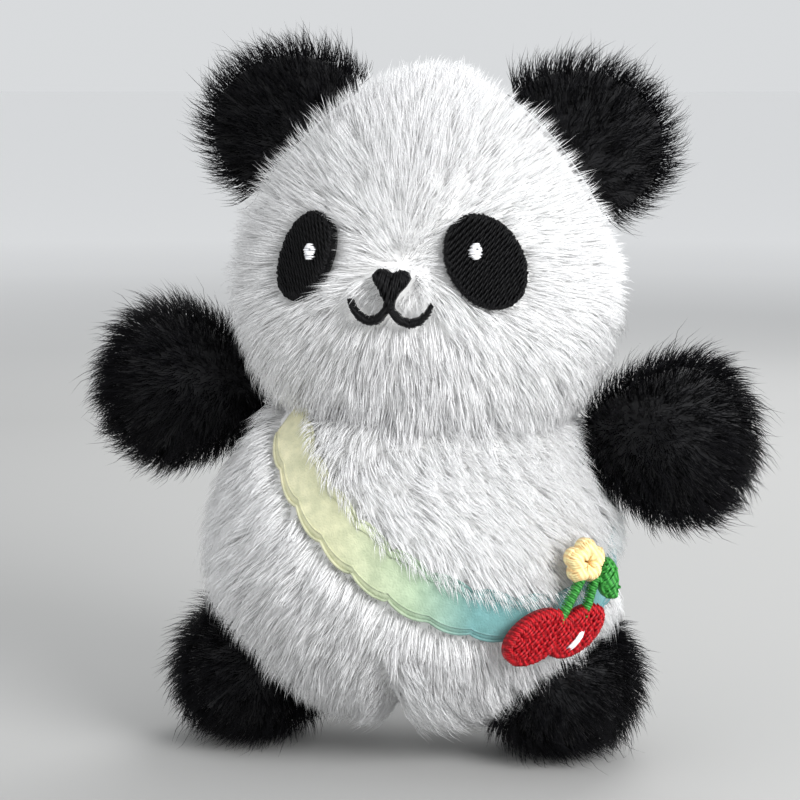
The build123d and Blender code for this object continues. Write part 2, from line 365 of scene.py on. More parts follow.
def egg_front(x, z, sizes):
    """The y of an egg's front at (x, z)."""
    half_width, half_depth, middle, rise, drop = sizes
    tall = np.where(z >= middle, rise, drop)
    return -half_depth * np.sqrt(np.clip(1 - (x / half_width) ** 2 - ((z - middle) / tall) ** 2, 0, 1))


def lifted(points, sizes, swell, height=0.0):
    """Points of an egg moved out by its swelling and a height."""
    return points + egg_normal(points, sizes) * (swell(points) + height)[..., None]


def into_head(points):
    """Points as the head's own frame has them, before it is set forward and turned."""
    return turned(points, -HEAD_TURN) + np.array([0, HEAD_FORWARD, 0])


def out_of_head(points):
    return turned(points - np.array([0, HEAD_FORWARD, 0]), HEAD_TURN)


def body_swell(p):
    """How far the stuffed body stands out from its plain egg."""
    low = 1 - smooth(p[..., 2], 8, 27)
    thighs = both(p, (15, -4, 9), (11, 18, 9))
    groove = np.exp(-(p[..., 0] / 2.2) ** 2) * low
    belly = bump(p, (0, -29, 36), (22, 10, 16))
    return 1.6 * thighs - 1.7 * groove + 0.7 * belly


def head_swell(p):
    cheeks = both(p, (23, -14, 72), (10, 12, 8))
    muzzle = bump(p, (0, -28, 79), (9.5, 8, 7))
    brow = bump(p, (0, -24, 91), (5, 10, 7))
    return 0.9 * cheeks + 2.4 * muzzle - 0.6 * brow


def body_skin(grow):
    points = lifted(egg_from_sphere(SPHERE[0], BODY, grow), BODY, body_swell)
    points[:, 2] = np.minimum(points[:, 2], NECK_Z - NECK_HALF_GAP)
    return points


def head_skin(grow):
    points = lifted(egg_from_sphere(SPHERE[0], HEAD, grow), HEAD, head_swell)
    points[:, 2] = np.maximum(points[:, 2], NECK_Z + NECK_HALF_GAP)
    return out_of_head(points)


def push_out(points, sizes, grow):
    """Moves the points that lie inside an egg onto it."""
    points = points.copy()
    inside = egg_level(points, sizes, grow) < 1
    points[inside] = onto_egg(points[inside], sizes, grow)
    return points


def push_out_of_head(points, grow):
    return out_of_head(push_out(into_head(points), HEAD, grow))


def ellipsoid(radii, place, grow, dirs=SMALL_SPHERE[0]):
    return dirs * (np.array(radii) + grow) + np.array(place)


EAR_RADII = (16.4, 6.5, 14.4)
EAR_PLACE = (23.5, -2.0, 104.5)
ARM_RADII = (13.3, 12.3, 14.6)
ARM_PLACES = {-1: (-44.3, 1.0, 59.6), 1: (46.3, 1.0, 56.8)}
LEG_RADII = (13.4, 16.0, 13.4)
LEG_PLACE = (27.0, LEG_Y, 12.4)
SIDES = {-1: "right", 1: "left"}
ARM_TRIM = {-1: 0.07, 1: 0.12}  # how much the pile's length takes off each paw's outer end
ARM_INSET = {-1: 0.3, 1: 2.2}
WHITE_SINK = 3.4  # how deep in the white pile a limb's seam sits


def ear_skin(side, grow):
    return push_out_of_head(ellipsoid(EAR_RADII, on_side(side, EAR_PLACE), grow), grow)


def arm_skin(side, grow):
    """A paw, drawn out inwards to its shoulder seam on the body, and set in by its pile's length."""
    dirs = SMALL_SPHERE[0]
    inward = np.clip(-side * dirs[:, 0], 0, 1)
    stretched = dirs.copy()
    stretched[:, 0] *= 1 + 0.5 * inward ** 1.5
    outward = np.clip(side * dirs[:, 0], 0, 1)
    stretched[:, 0] *= 1 - ARM_TRIM[side] * outward
    stretched[:, 1:] *= (1 - 0.12 * inward ** 2)[:, None]
    points = ellipsoid(ARM_RADII, ARM_PLACES[side], grow, stretched)
    points[:, 0] -= side * ARM_INSET[side]
    points = push_out(points, BODY, -WHITE_SINK)
    return push_out_of_head(points, -WHITE_SINK)


def upright(points):
    """Points of the level feet as the leaning toy's own frame has them."""
    return from_frame(to_frame(points, False))


def leg_skin(side, grow):
    points = ellipsoid(LEG_RADII, on_side(side, LEG_PLACE), grow)
    points[:, 2] = np.maximum(points[:, 2], -grow * 0.15)
    return leaned(push_out(upright(points), BODY, grow))


def crosses(points, faces):
    """Each triangle's normal, as long as twice its area."""
    corners = points[faces]
    return np.cross(corners[:, 1] - corners[:, 0], corners[:, 2] - corners[:, 0])


def vertex_normals(points, faces):
    normals = crosses(points, faces)
    total = np.zeros_like(points)
    for corner in range(3):
        np.add.at(total, faces[:, corner], normals)
    return unit(total)


# ---- fur

STRANDS_PER_PIECE = 12000
UNLIMITED = 99.0
SHORTEST = 0.3  # a strand with less room than this is left out
ROOT_DEPTH = 0.3  # how far below the backing cloth a strand starts
TUFT_LENGTHS = 0.07  # how much whole tufts differ in length
TUFT_WIDTH = 0.25  # of a tuft's tip, beside its root
FRIZZ = 0.10
FLOOR_CLEARANCE = 0.05  # the feet's pile is pressed flat just above the floor
RUN_STEPS = np.arange(0, 7.5, 0.5)[::-1]  # where a strand's way is tested, from its far end back


def scatter(points, faces, density, rng):
    """Even random roots over a skin, with the skin's normal at each."""
    corners = points[faces]
    areas = np.linalg.norm(crosses(points, faces), axis=1)
    count = int(areas.sum() / 2 * density)
    chosen = rng.choice(len(faces), count, p=areas / areas.sum())
    across = np.sqrt(rng.random(count))
    along = rng.random(count)
    weights = np.stack([1 - across, across * (1 - along), across * along], 1)[..., None]
    normals = vertex_normals(points, faces)
    return (corners[chosen] * weights).sum(1), unit((normals[faces[chosen]] * weights).sum(1))


def nearest(seeds, points):
    tree = KDTree(len(seeds))
    for number, seed in enumerate(seeds):
        tree.insert(seed, number)
    tree.balance()
    return np.array([tree.find(point)[1] for point in points])


def strand_lines(roots, normals, flow, length, lean, segments):
    """Centre lines that start at their lean and bend over towards the flow."""
    first, last = lean
    points = [roots]
    for number in range(segments):
        angle = first + (last - first) * number / (segments - 1)
        step = normals * np.cos(angle)[:, None] + flow * np.sin(angle)[:, None]
        points.append(points[-1] + step * (length / segments)[:, None])
    return np.stack(points, 1)


def fur(name, skin, coat, flow_at, keep_at, rng, lean, free_run):
    """A coat of closed, tapered strands, gathered into tufts, combed along flow_at."""
    roots, normals = scatter(skin, coat["faces"], coat["density"], rng)
    flow = flow_at(roots)
    flow = unit(flow - normals * (flow * normals).sum(-1, keepdims=True))
    longest = free_run(roots, flow, rng) if free_run else np.full(len(roots), UNLIMITED)
    kept = (keep_at(roots) > 0.05) & (longest > SHORTEST)
    roots, normals, flow, longest = roots[kept], normals[kept], flow[kept], longest[kept]
    count = len(roots)

    def tilts(kind):
        return rng.normal(0, math.radians(coat[kind]), count)

    tufts = rng.permutation(count)[: max(count // coat["tuft"], 1)]
    mine = tufts[nearest(roots[tufts], roots)]
    turn = tilts("tuft_turn")[mine] + tilts("turn")
    side = np.cross(normals, flow)
    flow = flow * np.cos(turn)[:, None] + side * np.sin(turn)[:, None]
    own = rng.lognormal(0, coat["length_spread"], count)
    length = coat["length"] * own * rng.lognormal(0, TUFT_LENGTHS, count)[mine] * keep_at(roots)
    length = np.minimum(length, longest)
    slack = tilts("slack") + tilts("tuft_slack")[mine]
    first = math.radians(coat["lean"][0]) + slack * 0.5
    last = math.radians(coat["lean"][1]) + slack

    segments = coat["segments"]
    lines = strand_lines(roots - normals * ROOT_DEPTH, normals, flow, length, (first, last), segments)
    pull = (coat["pull"] * (np.arange(segments + 1) / segments) ** 1.4)[None, :, None]
    leader = lines[mine] - lines[mine][:, :1]
    gathered = roots[mine][:, None] + leader * (length / length[mine])[:, None, None]
    gathered = gathered + (roots - roots[mine])[:, None] * TUFT_WIDTH
    lines = lines * (1 - pull) + gathered * pull
    lines[:, 1:] += rng.normal(0, FRIZZ, lines[:, 1:].shape)

    seen = roots - skin.mean(0)
    order = np.argsort(np.arctan2(seen[:, 0], -seen[:, 1]))
    for number, part in enumerate(np.array_split(order, max(1, math.ceil(count / STRANDS_PER_PIECE)))):
        yield strand_mesh(f"{name}_{number}", lines[part], side[part], coat, rng, lean)


def strand_mesh(name, lines, side, coat, rng, lean):
    """Three-sided strands, closed at the root and pointed at the tip."""
    count, rings = lines.shape[0], lines.shape[1] - 1
    run = unit(lines[:, -1] - lines[:, 0])
    side = unit(side - run * (side * run).sum(-1, keepdims=True))
    other = np.cross(run, side)
    own_width = coat["width"] * rng.uniform(0.75, 1.25, count)
    taper = np.linspace(1.0, 0.55, rings)
    per_strand = rings * 3 + 1
    points = np.zeros((count, per_strand, 3))
    for corner in range(3):
        angle = corner * math.tau / 3
        ray = side * math.cos(angle) + other * math.sin(angle)
        reach = own_width[:, None] / 2 * taper
        points[:, corner: rings * 3: 3] = lines[:, :rings] + ray[:, None] * reach[..., None]
    points[:, -1] = lines[:, -1]

    faces = [(2, 1, 0)]
    for ring in range(rings - 1):
        for corner in range(3):
            a, b = ring * 3 + corner, ring * 3 + (corner + 1) % 3
            faces += [(a, b, b + 3), (a, b + 3, a + 3)]
    last = (rings - 1) * 3
    faces += [(last + corner, last + (corner + 1) % 3, per_strand - 1) for corner in range(3)]
    offsets = (np.arange(count) * per_strand)[:, None, None]
    faces = (np.array(faces)[None] + offsets).reshape(-1, 3)

    points = points.reshape(-1, 3)
    if not lean:
        points[:, 2] = np.maximum(points[:, 2], FLOOR_CLEARANCE)
    piece = mesh_object(name, points, faces, coat["fur"], lean)
    levels = np.append(np.repeat(np.arange(rings) / rings, 3), 1.0)
    set_values(piece, "shade", np.repeat(rng.random(count), per_strand))
    set_values(piece, "along", np.tile(levels, count))
    lay_out_strands(piece.data, count, per_strand, levels)
    return piece


def lay_out_strands(mesh, count, per_strand, levels):
    """A map for baking, in which each strand has one small upright cell."""
    columns = math.ceil(math.sqrt(count))
    number = np.repeat(np.arange(count), per_strand)
    corner = np.tile(np.append(np.tile([0.2, 0.5, 0.8], per_strand // 3), 0.5), count)
    u = (number % columns + corner) / columns
    v = (number // columns + 0.1 + 0.8 * np.tile(levels, count)) / columns
    loops = np.empty(len(mesh.loops), np.int32)
    mesh.loops.foreach_get("vertex_index", loops)
    layer = mesh.uv_layers.new(name="OFBake")
    layer.data.foreach_set("uv", np.stack([u, v], 1)[loops].ravel())


FUR_SCALE = 1.0
DOWN = np.array([0.0, 0.0, -1.0])
BRIDGE = np.array([-1.0, -28.0, 86.5])  # between the eyes, where the face's pile fans out from
SEAM_TOP = 25.0


def head_flow(p):
    fan = unit(p - BRIDGE)
    back = smooth(p[:, 1], -2, 18)[:, None]
    low = (1 - smooth(p[:, 2], 66, 84))[:, None] * 0.9
    return fan * (1 - back) + DOWN * (back * 1.3 + low)


def body_flow(p):
    fan = unit(p * np.array([1, 0.4, 0]) + np.array([0, 0, -26.0]))
    wave = np.sin(p[:, 2] * 0.16 + p[:, 0] * 0.05) * 0.18
    parting = np.sign(p[:, 0]) * np.exp(-np.abs(p[:, 0]) / 4)
    parting = parting * (1 - smooth(p[:, 2], SEAM_TOP - 6, SEAM_TOP + 3))
    sideways = stacked(wave + parting * 0.5, 0, 0)
    chest = bump(p, (2, -26, 49), (15, 14, 8))[:, None]
    return fan + sideways + np.array([0.9, -0.3, 0.3]) * chest


def away_from(centre, sag=0.25):
    return lambda p: unit(p - np.array(centre)) + DOWN * sag


# ---- outlines of the embroidered face

EYES = {  # side: middle x and z, half width, half height, tilt in degrees
    -1: (-15.8, 85.4, 4.8, 7.9, -18.0),
    1: (14.2, 86.5, 6.1, 8.4, 32.0),
}
GLINT_PLACE = {-1: (1.3, 0.7), 1: (-1.6, 1.5)}
GLINT = (0.95, 1.25)
EDGE_SPREAD = 0.35  # how far the ragged border stitches reach past an outline
NOSE_LEVEL = 82.0
MOUTH_LEVEL = 78.3
MOUTH = [(-6.5, 1.1), (-5.9, -0.4), (-4.7, -1.6), (-3.3, -2.1), (-1.9, -1.7), (-0.8, -0.6), (0.0, 0.6)]
NOSE = [
    (-2.9, 1.2), (-2.4, 2.2), (-1.3, 2.5), (-0.5, 2.0), (0.5, 2.0), (1.3, 2.5), (2.4, 2.2), (2.9, 1.2),
    (2.3, 0.0), (1.3, -1.2), (0.7, -2.4), (0.55, -4.0),
    (-0.55, -4.0), (-0.7, -2.4), (-1.3, -1.2), (-2.3, 0.0),
]


def ellipse(centre, half_width, half_height, tilt=0.0, count=48):
    angle = np.linspace(0, math.tau, count, endpoint=False)
    places = spun(half_width * np.cos(angle), half_height * np.sin(angle), math.radians(tilt))
    return np.stack(places, -1) + np.array(centre)


def crosswise(line):
    """The way a 2-D line runs at each point, and the way square to it."""
    run = unit(np.gradient(line, axis=0))
    return run, run[:, ::-1] * (-1, 1)


def band(line, width):
    """The outline of a tapered band about a line."""
    side = crosswise(line)[1] * width[:, None] / 2
    return np.concatenate([line + side, (line - side)[::-1]])


def within(outline, points):
    """Which 2-D points lie inside a closed outline."""
    hit = np.zeros(len(points), bool)
    for (x0, y0), (x1, y1) in zip(outline, np.roll(outline, -1, axis=0)):
        if y0 == y1:
            continue
        spans = (y0 > points[:, 1]) != (y1 > points[:, 1])
        crossing = x0 + (points[:, 1] - y0) * (x1 - x0) / (y1 - y0)
        hit ^= spans & (points[:, 0] < crossing)
    return hit


def eye_outline(side):
    x, z, half_width, half_height, tilt = EYES[side]
    return ellipse((x, z), half_width - EDGE_SPREAD, half_height - EDGE_SPREAD, tilt)


def glint_outline(side):
    place = (EYES[side][0] + GLINT_PLACE[side][0], EYES[side][1] + GLINT_PLACE[side][1])
    return ellipse(place, *GLINT, count=20)


MOUTH_HALF = np.array(MOUTH) + np.array([0, MOUTH_LEVEL])
MOUTH_LINES = {-1: MOUTH_HALF, 1: MOUTH_HALF * np.array([-1, 1])}
MOUTH_WIDTHS = np.array([0.5, 0.8, 1.15, 1.35, 1.3, 1.1, 0.9])
NOSE_OUTLINE = np.array(NOSE) + np.array([0, NOSE_LEVEL])
NOSE_CLEARING = NOSE_OUTLINE.mean(0) + (NOSE_OUTLINE - NOSE_OUTLINE.mean(0)) * 1.2
FACE_OUTLINES = [eye_outline(-1), eye_outline(1), NOSE_CLEARING]
FACE_OUTLINES += [band(line, MOUTH_WIDTHS + 0.3) for line in MOUTH_LINES.values()]


def on_face(places, height):
    """Points at (x, z) of the face, a height above the head's outer surface."""
    x, z = np.moveaxis(places, -1, 0)
    points = stacked(x, egg_front(x, z, HEAD), z)
    return out_of_head(lifted(points, HEAD, head_swell, height))


def face_place(points):
    """The (x, z) on the face of points near the head's front, and which ones are in front."""
    local = onto_egg(into_head(points), HEAD)
    return local[:, [0, 2]], local[:, 1] < 0


def face_run(roots, flow, rng):
    """How far each strand may run: just past the edge of the embroidery that it is combed towards."""
    past = np.where(rng.random(len(roots)) < 0.04, 2.4, 0.25) + rng.uniform(0, 0.5, len(roots))
    longest = np.full(len(roots), UNLIMITED)
    for step in RUN_STEPS:
        places, front = face_place(roots + flow * step)
        for outline in FACE_OUTLINES:
            inside = within(outline, places) & front
            longest[inside] = step + past[inside] if step > 0 else 0.0
    return longest


# ---- the sash's course and the patch's place

SASH_NORMAL = unit(np.array([0.400, -0.550, 0.733]))
SASH_OFFSET = 42.5
SASH_HALF = 3.1
SCALLOP = 0.75
SCALLOP_PITCH = 7.6
UNDER_PATCH = 4.2  # how long the pile is beneath the patch
SASH_COVERED = 4.0  # how much of its upper side the body's pile covers

PATCH_PLACE = np.array([27.0, -19.5, 33.0])
PATCH_AZIMUTH = math.radians(38.0)
PATCH_ACROSS = turned(np.array([1.0, 0.0, 0.0]), PATCH_AZIMUTH)
PATCH_OUT = turned(np.array([0.0, -1.0, 0.0]), PATCH_AZIMUTH)
PATCH_STANDOFF = 1.5
PATCH_BEND = 70.0  # radius that the patch bends to, round the body
CHERRY_INNER = ((-4.9, -5.7), 5.9, 3.6, 33.0)
CHERRY_OUTER = ((2.4, -5.2), 5.8, 3.2, 33.0)
STREAK = ((1.6, -6.3), 4.4, 48.0)
STREAK_SPACING = 0.3
PETALS = 5
STEMS = {"inner": ((2.6, 3.4), (-1.0, -3.4)), "outer": ((5.4, 3.4), (3.6, -3.0))}
FLOWER = (3.3, 6.2)
LEAF = ((8.3, 3.0), 3.5, 1.9, 14.0)


def above_sash(points):
    """How far above the sash's middle plane points lie; the back of the body mirrors the front."""
    folded = np.stack([points[..., 0], -np.abs(points[..., 1]), points[..., 2]], -1)
    return folded @ SASH_NORMAL - SASH_OFFSET


def on_patch(places, height):
    across, up = places[..., 0:1], places[..., 1:2]
    out = PATCH_STANDOFF + np.asarray(height)[..., None] - across ** 2 / (2 * PATCH_BEND)
    return PATCH_PLACE + PATCH_ACROSS * across + np.array([0, 0, 1.0]) * up + PATCH_OUT * out


def patch_place(points):
    seen = points - PATCH_PLACE
    return np.stack([seen @ PATCH_ACROSS, seen[..., 2]], -1), seen @ PATCH_OUT > -8


PATCH_OUTLINES = [ellipse(*CHERRY_INNER), ellipse(*CHERRY_OUTER), ellipse(FLOWER, 3.6, 3.6)]
PATCH_OUTLINES.append(ellipse(LEAF[0], LEAF[2], LEAF[1], LEAF[3]))


def body_run(roots, flow, rng):
    """How far each strand may run over the sash and the patch."""
    longest = np.full(len(roots), UNLIMITED)
    covered = SASH_COVERED + rng.uniform(-1.2, 1.4, len(roots))
    for step in RUN_STEPS:
        on_sash = np.abs(above_sash(onto_egg(roots + flow * step, BODY))) < SASH_HALF + 0.3
        longest[on_sash] = step + covered[on_sash] if step > 0 else 0.0
    places, near = patch_place(onto_egg(roots, BODY))
    for outline in PATCH_OUTLINES:
        under = within(outline, places) & near & (longest > 0)
        longest[under] = np.minimum(longest[under], UNDER_PATCH)
    return longest


# ---- the coats

FILL_DEPTH = 0.9  # from the backing cloth in to the filling
BLACK_DEPTH = 2.4  # from the CAD surface in to the black backing cloth
WHITE_DEPTH = 3.6
WHITE_COAT = dict(
    cloth=WHITE_CLOTH, fur=WHITE_FUR, slot="plush_white", faces=SPHERE[1], depth=WHITE_DEPTH,
    density=4.4 * FUR_SCALE, length=6.2, width=0.15, lean=(34, 82), segments=3, tuft=22, pull=0.26,
    tuft_turn=7, turn=6, length_spread=0.12, slack=5, tuft_slack=4,
)
BLACK_COAT = dict(
    cloth=BLACK_CLOTH, fur=BLACK_FUR, slot="plush_black", faces=SMALL_SPHERE[1], depth=BLACK_DEPTH,
    density=5.5 * FUR_SCALE, length=4.8, width=0.13, lean=(20, 62), segments=3, tuft=9, pull=0.3,
    tuft_turn=16, turn=14, length_spread=0.22, slack=9, tuft_slack=4,
)


def soft_part(node, skin_of, coat, flow, keep, seed, body="toy", lean=True, run=None):
    """Backing cloth, filling and coat of one sewn part."""
    skin = skin_of(-coat["depth"])
    backing = mesh_object(node + "_cloth", skin, coat["faces"], coat["cloth"], lean)
    cover = node + "_cover"
    finish_piece(backing, body, coat["slot"], [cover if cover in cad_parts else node])
    stuffing = node + "_stuffing"
    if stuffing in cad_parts:
        inner = skin_of(-coat["depth"] - FILL_DEPTH)
        filling = mesh_object(node + "_filling", inner, coat["faces"], FILLING, lean)
        finish_piece(filling, body, "stuffing", [stuffing])
    for piece in fur(node + "_fur", skin, coat, flow, keep, np.random.default_rng(seed), lean, run):
        finish_piece(piece, body, coat["slot"])


SHOULDER_REACH = 8.5  # from the middle of a paw in to where its seam lies on the body
SHOULDER_RADII = (11.5, 9.5, 9.5)


def clear_of(points, radii, place):
    """0 inside a limb that is sewn on, rising to 1 some way outside it."""
    level = np.linalg.norm((points - np.array(place)) / (np.array(radii) + 0.5), axis=-1)
    return np.where(level < 1, 0, 0.35 + 0.65 * smooth(level, 1.0, 1.35))


def clear_of_arms(points):
    keep = np.ones(len(points))
    for side, place in ARM_PLACES.items():
        shoulder = np.array(place) - side * np.array([SHOULDER_REACH, 0.0, 0.0])
        keep = np.minimum(keep, clear_of(points, SHOULDER_RADII, shoulder))
    return keep


def head_keep(p):
    keep = smooth(p[:, 2], NECK_Z + 0.3, NECK_Z + 1.0) * clear_of_arms(p)
    for side in SIDES:
        keep = np.minimum(keep, clear_of(p, EAR_RADII, on_side(side, EAR_PLACE)))
    return keep


def body_keep(p):
    seam = 1 - 0.5 * np.exp(-(p[:, 0] / 1.1) ** 2) * (1 - smooth(p[:, 2], SEAM_TOP - 3, SEAM_TOP + 2))
    return (1 - smooth(p[:, 2], NECK_Z - 1.4, NECK_Z - 0.6)) * clear_of_arms(p) * seam


def outside(p, sizes, margin=1.01):
    """1 outside the seam of the black plush on an egg, 0 inside it."""
    return (egg_level(p, sizes, -BLACK_DEPTH) > margin).astype(float)


def ear_keep(p):
    return outside(into_head(p), HEAD)


def arm_keep(p):
    return outside(p, BODY, 1.02) * outside(into_head(p), HEAD, 1.02)


def leg_keep(p):
    return outside(upright(p), BODY) * (0.35 + 0.65 * smooth(p[:, 2], 0.4, 6.0))


soft_part("head", head_skin, WHITE_COAT, head_flow, head_keep, 11, run=face_run)
soft_part("body", body_skin, WHITE_COAT, body_flow, body_keep, 12, run=body_run)
for side, word in SIDES.items():
    from_ear = away_from(on_side(side, (16.0, 0.0, 94.0)), 0.0)
    from_shoulder = away_from(on_side(side, (26.0, 0.0, ARM_PLACES[side][2] + 2.0)))
    from_hip = away_from(on_side(side, (15.0, 0.0, 24.0)), 0.1)
    soft_part(f"ear_{word}", lambda grow: ear_skin(side, grow), BLACK_COAT, from_ear, ear_keep, 20 + side)
    arm, leg = f"arm_{word}", f"leg_{word}"
    soft_part(arm, lambda grow: arm_skin(side, grow), BLACK_COAT, from_shoulder, arm_keep, 30 + side, arm)
    soft_part(leg, lambda grow: leg_skin(side, grow), BLACK_COAT, from_hip, leg_keep, 40 + side, lean=False)


# ---- thread

TUBE_END = 0.6  # a tube's ends beside its middle
stitch_rng = np.random.default_rng(5)


def tubes(name, lines, radius, material, sides=5):
    """Closed tubes along many lines of the same number of points, narrower at their ends."""
    lines = np.asarray(lines, float)
    count, length = lines.shape[:2]
    run = unit(np.gradient(lines, axis=1))
    chord = unit(lines[:, -1] - lines[:, 0])[:, None]
    sag = lines[:, length // 2] - (lines[:, 0] + lines[:, -1]) / 2 + np.array([0.0, 1e-4, 2e-4])
    up = np.broadcast_to(sag[:, None], run.shape)
    side = unit(np.cross(run, up) + np.cross(chord, np.array([0.3, 0.2, 0.9])) * 1e-3)
    up = np.cross(side, run)
    size = np.full(length, radius)
    size[0] = size[-1] = radius * TUBE_END
    rings = []
    for corner in range(sides):
        angle = corner * math.tau / sides
        rings.append(lines + (side * math.cos(angle) + up * math.sin(angle)) * size[None, :, None])
    points = np.stack(rings, 2).reshape(-1, 3)
    corners = np.arange(sides)
    caps = np.stack([corners[::-1], (length - 1) * sides + corners])
    offsets = (np.arange(count) * length * sides)[:, None, None]
    quads = (ring_quads(length, sides)[None] + offsets).reshape(-1, 4)
    caps = (caps[None] + offsets).reshape(-1, sides)
    return mesh_object(name, points, [quads, caps], material)


def arches(starts, ends, low, high):
    """Stitches between 2-D places: their places and heights, rising from low to high and back."""
    t = np.linspace(0, 1, 5)
    places = starts[:, None] * (1 - t)[None, :, None] + ends[:, None] * t[None, :, None]
    heights = low + (high - low) * np.sin(math.pi * t)[None] ** 0.7
    return places, np.broadcast_to(heights, places.shape[:2])


def chords(outline, angle, spacing):
    """Where evenly spaced parallel rows enter and leave an outline."""
    c, s = heading(angle)
    along = outline @ np.array([c, s])
    across = outline @ np.array([-s, c])
    found = []
    for level in np.arange(across.min() + spacing / 2, across.max(), spacing):
        crossings = []
        for n in range(len(outline)):
            a0, a1 = across[n - 1] - level, across[n] - level
            if (a0 > 0) != (a1 > 0):
                crossings.append(along[n - 1] + (along[n] - along[n - 1]) * a0 / (a0 - a1))
        crossings.sort()
        for first, last in zip(crossings[::2], crossings[1::2]):
            found.append((level, first, last))
    return found, np.array([[c, s], [-s, c]])


def fill_stitches(outline, angle, spacing, stitch, ragged=0.15):
    """Rows of stitches laid like bricks, with slightly ragged ends."""
    rows, axes = chords(outline, math.radians(angle), spacing)
    starts, ends = [], []
    for number, (level, first, last) in enumerate(rows):
        first -= stitch_rng.uniform(0, ragged)
        last += stitch_rng.uniform(0, ragged)
        cuts = np.arange(first - stitch * ((number * 0.37) % 1), last, stitch)
        cuts = np.concatenate([[first], cuts[(cuts > first + 0.6) & (cuts < last - 0.6)], [last]])
        for a, b in zip(cuts[:-1], cuts[1:]):
            drift = stitch_rng.normal(0, 0.05, 2)
            starts.append((a, level + drift[0]))
            ends.append((b, level + drift[1]))
    return np.array(starts) @ axes, np.array(ends) @ axes


def border_stitches(outline, spacing, inward, ragged):
    """Short stitches across an outline all the way round."""
    closed = np.vstack([outline, outline[:1]])
    lengths = distances(closed)
    edge = sampled(closed, lengths, np.arange(0, lengths[-1], spacing))
    inner = unit(outline.mean(0) - edge)
    outer = edge - inner * stitch_rng.uniform(0, ragged, (len(edge), 1))
    return outer, edge + inner * (inward + stitch_rng.uniform(-ragged, ragged, (len(edge), 1)))


def band_stitches(line, widths, spacing, ragged=0.18):
    """Satin stitches across a line."""
    line = np.array(line, float)
    lengths = distances(line)
    where = np.arange(0, lengths[-1], spacing)
    middle = sampled(line, lengths, where)
    run, side = crosswise(middle)
    half = np.interp(where, lengths, widths)[:, None] / 2
    slant = run * 0.12
    first = middle + side * (half + stitch_rng.uniform(0, ragged, half.shape)) + slant
    last = middle - side * (half + stitch_rng.uniform(0, ragged, half.shape)) - slant
    return first, last


def stitched(name, groups, surface, radius, colour, node):
    """Embroidery from groups of stitches: starts, ends, low, high."""
    lines = [surface(*arches(*group)) for group in groups]
    piece = tubes(name, np.concatenate(lines), radius, THREADS[colour])
    finish_piece(piece, "toy", "thread_" + colour, [node] if node else [])


def pad(name, outline, surface, low, high, dome, colour):
    """The closed, slightly domed ground that the stitches lie on."""
    middle = outline.mean(0)
    shares = (1.0, 0.92, 0.7, 0.4)
    count = len(outline)
    points = [surface(outline, np.full(count, low))]
    for share in shares:
        height = high + dome * (1 - share ** 2)
        points.append(surface(middle + (outline - middle) * share, np.full(count, height)))
    points.append(surface(middle[None], np.array([high + dome])))
    points.append(surface(middle[None], np.array([low])))
    rim = np.arange(count)
    following = np.roll(rim, -1)
    top = len(shares) * count
    peak = top + count
    caps = np.concatenate([
        stacked(top + rim, top + following, np.full(count, peak)),
        stacked(following, rim, np.full(count, peak + 1)),
    ])
    quads = ring_quads(len(shares) + 1, count)
    piece = mesh_object(name, np.concatenate(points), [quads, caps], THREADS[colour])
    finish_piece(piece, "toy", "thread_" + colour)


# ---- the face's embroidery

FACE_BASE = -1.9  # the stitches are pulled down into the pile
FACE_TOP = -0.6
FACE_GROUND = FACE_BASE - 1.2
FACE_THREAD = 0.17
for side, word in SIDES.items():
    outline = eye_outline(side)
    pad(f"eye_{word}_ground", outline, on_face, FACE_GROUND, FACE_BASE + 0.45, 0.3, "black")
    fill = fill_stitches(outline, 62 * side, 0.23, 2.9)
    edge = border_stitches(outline, 0.24, 0.9, 0.35)
    groups = [(*fill, FACE_BASE + 0.6, FACE_TOP), (*edge, FACE_BASE, FACE_TOP - 0.1)]
    stitched(f"eye_{word}_thread", groups, on_face, 0.135, "black", f"eye_{word}")
    spark = (*fill_stitches(glint_outline(side), 8, 0.28, 9.0, 0.25), FACE_TOP - 0.2, FACE_TOP + 0.5)
    stitched(f"eye_glint_{word}_thread", [spark], on_face, FACE_THREAD, "white", f"eye_glint_{word}")

pad("nose_ground", NOSE_OUTLINE, on_face, FACE_GROUND, FACE_TOP - 0.4, 0.3, "black")
nose = (*fill_stitches(NOSE_OUTLINE, 84, 0.24, 9.0, 0.2), FACE_TOP - 0.5, FACE_TOP + 0.35)
stitched("nose_thread", [nose], on_face, FACE_THREAD, "black", "nose")
groups = []
for line in MOUTH_LINES.values():
    groups.append((*band_stitches(line, MOUTH_WIDTHS, 0.24), FACE_BASE, FACE_TOP + 0.2))
stitched("mouth_thread", groups, on_face, FACE_THREAD, "black", "mouth")


# ---- the cherry patch's embroidery

PATCH_THREAD = 0.24


def smaller(spec, less):
    place, long, short, tilt = spec
    return ellipse(place, long - less, short - less, tilt)


for name, spec in (("cherry_inner", CHERRY_INNER), ("cherry_outer", CHERRY_OUTER)):
    tilt = spec[3]
    pad(name + "_ground", ellipse(*spec), on_patch, -1.0, 0.7, 0.6, "red")
    under = fill_stitches(smaller(spec, 0.4), tilt + 62, 0.42, 2.4)
    over = fill_stitches(smaller(spec, 0.9), tilt + 8, 0.5, 3.0, 0.4)
    edge = border_stitches(ellipse(*spec), 0.42, 1.3, 0.25)
    groups = [(*under, 0.8, 1.25), (*over, 0.9, 1.6), (*edge, 0.0, 1.15)]
    stitched(name + "_thread", groups, on_patch, PATCH_THREAD, "red", name)

streak_place, streak_length, streak_tilt = STREAK
tilt = math.radians(streak_tilt)
run = heading(tilt) * streak_length / 2
across = heading(tilt + math.pi / 2) * STREAK_SPACING
rows = np.array([[-1.0], [0.0], [1.0]]) * across + np.array(streak_place)
streak = (rows - run, rows + run, 1.3, 1.95)
stitched("cherry_streak_thread", [streak], on_patch, 0.2, "white", "cherry_streak")

